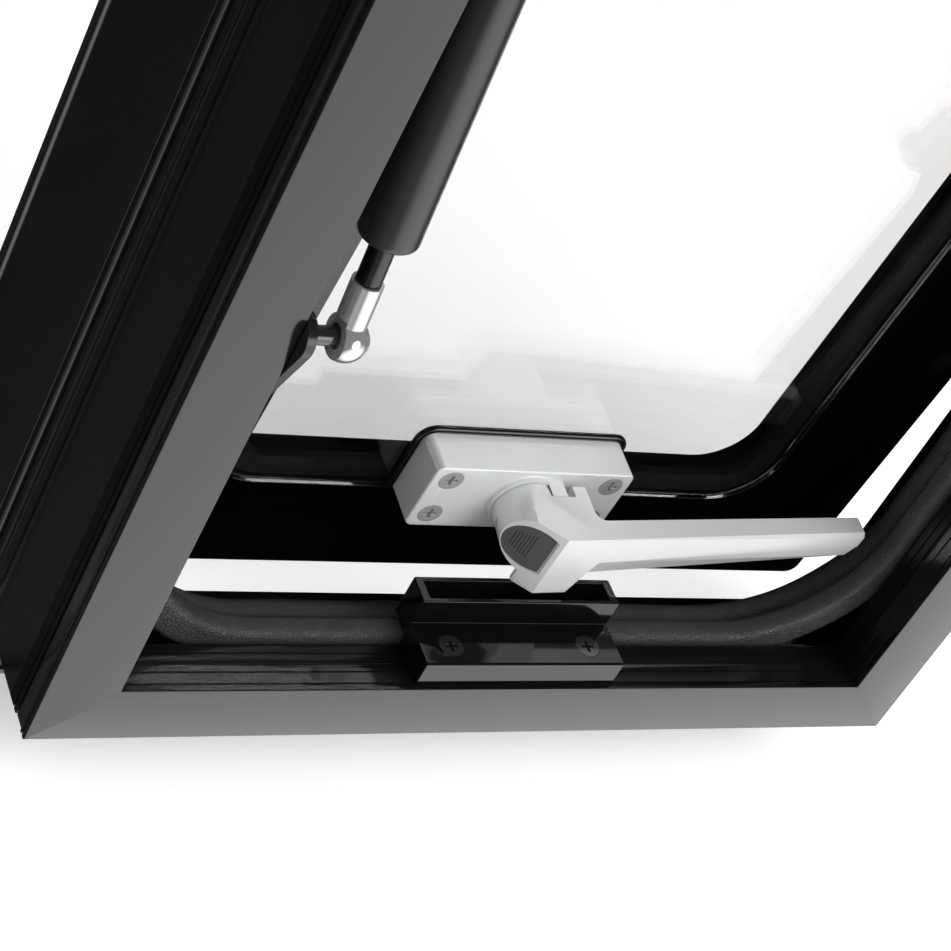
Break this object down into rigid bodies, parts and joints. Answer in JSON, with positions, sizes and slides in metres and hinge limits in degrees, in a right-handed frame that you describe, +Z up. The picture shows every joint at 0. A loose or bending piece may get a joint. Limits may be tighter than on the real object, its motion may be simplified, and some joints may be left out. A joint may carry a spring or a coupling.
{
  "type": "caravan window",
  "caption": "Top-hung caravan window: black mitred frame with outer flange, bulb seal, glazed sash on gas struts, silver push-button lever latch and keeper.",
  "frame": {"origin": "middle of the wall opening, in the plane of the outer flange's inner face", "axes": "+X to the right seen from inside the vehicle, +Y towards the outside, +Z up"},
  "size_m": [0.429, 0.0857, 0.579],
  "materials": {
    "frame_coat": "black satin powder coat on aluminium",
    "strip_plastic": "black glass-filled nylon",
    "key_aluminium": "plain cast aluminium",
    "seal_rubber": "black rubber with a fine leather grain",
    "keeper_coat": "black glossy coat on cast metal",
    "screw_black": "black coated steel",
    "pane_glass": "clear safety glass with a black fired border",
    "inner_glass": "clear safety glass with a black fired border",
    "spacer_plastic": "black spacer strip",
    "gasket_rubber": "thin black rubber",
    "latch_paint": "fine silver satin paint on die-cast zinc",
    "screw_steel": "zinc-plated steel",
    "plain_steel": "plain steel",
    "button_plastic": "dark grey moulded plastic",
    "bracket_paint": "black painted steel",
    "rod_steel": "dark nitrided steel rod",
    "socket_chrome": "bright chrome",
    "tube_paint": "black satin paint"
  },
  "bodies": {
    "frame": {"inner_profile_bottom": "frame_coat", "thermal_break_bottom": "strip_plastic", "outer_profile_bottom": "frame_coat", "seal_run_bottom": "seal_rubber", "inner_profile_top": "frame_coat", "thermal_break_top": "strip_plastic", "outer_profile_top": "frame_coat", "seal_run_top": "seal_rubber", "inner_profile_left": "frame_coat", "thermal_break_left": "strip_plastic", "outer_profile_left": "frame_coat", "seal_run_left": "seal_rubber", "inner_profile_right": "frame_coat", "thermal_break_right": "strip_plastic", "outer_profile_right": "frame_coat", "seal_run_right": "seal_rubber", "corner_keys": "key_aluminium", "inner_corner_keys": "key_aluminium", "seal_corners": "seal_rubber", "keeper": "keeper_coat", "keeper_screws": "screw_black", "hinge_rail": "frame_coat", "frame_bracket_left": "bracket_paint", "frame_stud_left": "plain_steel", "bracket_screws_left": "screw_black", "frame_bracket_right": "bracket_paint", "frame_stud_right": "plain_steel", "bracket_screws_right": "screw_black"},
    "sash": {"hinge_leaf": "frame_coat", "outer_pane": "pane_glass", "spacer_frame": "spacer_plastic", "inner_pane": "inner_glass", "handle_packer": "spacer_plastic", "handle_gasket": "gasket_rubber", "handle_box": "latch_paint", "handle_box_screws": "screw_steel", "sash_bracket_left": "bracket_paint", "sash_stud_left": "plain_steel", "sash_bracket_right": "bracket_paint", "sash_stud_right": "plain_steel"},
    "lever": {"handle_lever": "latch_paint", "handle_spindle": "plain_steel", "button_spring": "plain_steel"},
    "button": {"handle_button": "button_plastic"},
    "rod_left": {"strut_lower_socket_left": "socket_chrome", "strut_rod_left": "rod_steel"},
    "tube_left": {"strut_tube_left": "tube_paint", "strut_upper_socket_left": "socket_chrome"},
    "rod_right": {"strut_lower_socket_right": "socket_chrome", "strut_rod_right": "rod_steel"},
    "tube_right": {"strut_tube_right": "tube_paint", "strut_upper_socket_right": "socket_chrome"}
  },
  "joints": [
    {"name": "sash_hinge", "type": "hinge", "parent": "frame", "child": "sash", "pos_m": [0, -0.004, 0.2385], "axis": [1, 0, 0], "range_deg": [-3.7, 26.3]},
    {"name": "handle_turn", "type": "hinge", "parent": "sash", "child": "lever", "pos_m": [-0.001, -0.01145, -0.18091], "axis": [0, -0.9979, -0.0645], "range_deg": [0, 90]},
    {"name": "button_press", "type": "slide", "parent": "lever", "child": "button", "axis": [0, 0.9979, 0.0645], "range_m": [0, 0.002], "stiffness_N_per_m": 600, "springref_m": -0.002},
    {"name": "strut_left_swing", "type": "hinge", "parent": "frame", "child": "rod_left", "pos_m": [-0.134, -0.0582, -0.0652], "axis": [-1, 0, 0], "range_deg": [-1.6, 11.1]},
    {"name": "strut_left_slide", "type": "slide", "parent": "rod_left", "child": "tube_left", "axis": [0, 0.1132, 0.9936], "range_m": [-0.0008, 0.005]},
    {"name": "strut_right_swing", "type": "hinge", "parent": "frame", "child": "rod_right", "pos_m": [0.134, -0.0582, -0.0652], "axis": [-1, 0, 0], "range_deg": [-1.6, 11.1]},
    {"name": "strut_right_slide", "type": "slide", "parent": "rod_right", "child": "tube_right", "axis": [0, 0.1132, 0.9936], "range_m": [-0.0008, 0.005]}
  ],
  "couplings": [
    {"joint": "strut_left_swing", "follows": "sash_hinge", "ratio": 0.4206},
    {"joint": "strut_left_slide", "follows": "sash_hinge", "m_per_rad": 0.0105},
    {"joint": "strut_right_swing", "follows": "sash_hinge", "ratio": 0.4206},
    {"joint": "strut_right_slide", "follows": "sash_hinge", "m_per_rad": 0.0105}
  ]
}
